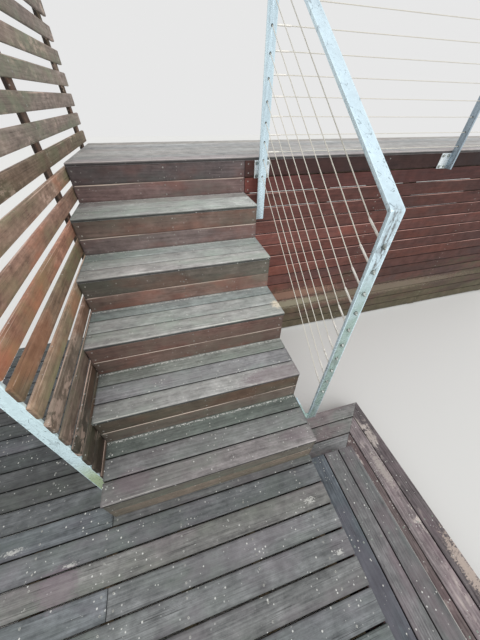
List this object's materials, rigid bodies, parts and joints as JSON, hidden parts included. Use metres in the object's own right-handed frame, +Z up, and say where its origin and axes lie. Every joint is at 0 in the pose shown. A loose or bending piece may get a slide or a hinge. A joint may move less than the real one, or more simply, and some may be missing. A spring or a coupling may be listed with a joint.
{
  "type": "deck stairs",
  "caption": "Timber stairs from a low deck to a high deck, with wrap-round side steps, a slatted screen and a galvanised flat-bar balustrade with tensioned wires.",
  "frame": {"origin": "on the ground under the left end of the first nosing, at the sole of a leg of the lower deck", "axes": "+X to the right along the treads, +Y from the first nosing towards the house wall, +Z up"},
  "size_m": [5.15, 3.31, 2.59],
  "materials": {
    "tread_wood": "weathered grey hardwood",
    "riser_wood": "weathered red-brown hardwood",
    "cladding_wood": "weathered red-brown hardwood",
    "deck_wood": "weathered slate-grey hardwood",
    "frame_wood": "rough treated softwood",
    "galvanised_steel": "hot-dip galvanised, dull",
    "wire": "stainless wire rope and swaged studs",
    "screen_wood": "weathered orange-brown hardwood"
  },
  "bodies": {
    "root": {"tread_1": "tread_wood", "tread_2": "tread_wood", "tread_3": "tread_wood", "tread_4": "tread_wood", "tread_5": "tread_wood", "upper_deck_boards": "tread_wood", "risers": "riser_wood", "lower_deck_edge_boards": "riser_wood", "lower_deck_side_boards": "riser_wood", "upper_side_step_risers": "riser_wood", "lower_side_step_risers": "riser_wood", "front_fascia": "cladding_wood", "end_fascia": "cladding_wood", "lower_deck_boards": "deck_wood", "upper_side_step_boards": "deck_wood", "lower_side_step_boards": "deck_wood", "lower_side_step_return_boards": "deck_wood", "left_stringer": "frame_wood", "middle_stringer": "frame_wood", "right_stringer": "frame_wood", "stringer_header": "frame_wood", "lower_deck_joists": "frame_wood", "lower_deck_bearers": "frame_wood", "lower_deck_legs": "frame_wood", "upper_side_step_supports": "frame_wood", "lower_side_step_supports": "frame_wood", "upper_deck_joists": "frame_wood", "upper_deck_rim": "frame_wood", "upper_deck_ledger": "frame_wood", "upper_deck_front_legs": "frame_wood", "upper_deck_back_legs": "frame_wood", "stair_lower_post": "galvanised_steel", "lower_post_bracket": "galvanised_steel", "stair_handrail": "galvanised_steel", "stair_top_post": "galvanised_steel", "deck_post_1": "galvanised_steel", "deck_post_2": "galvanised_steel", "deck_post_3": "galvanised_steel", "post_plates": "galvanised_steel", "deck_top_rail": "galvanised_steel", "screen_post": "galvanised_steel", "stair_wires": "wire", "deck_wires": "wire", "screen_slats": "screen_wood", "screen_middle_batten": "screen_wood", "screen_wall_batten": "screen_wood"}
  },
  "joints": []
}
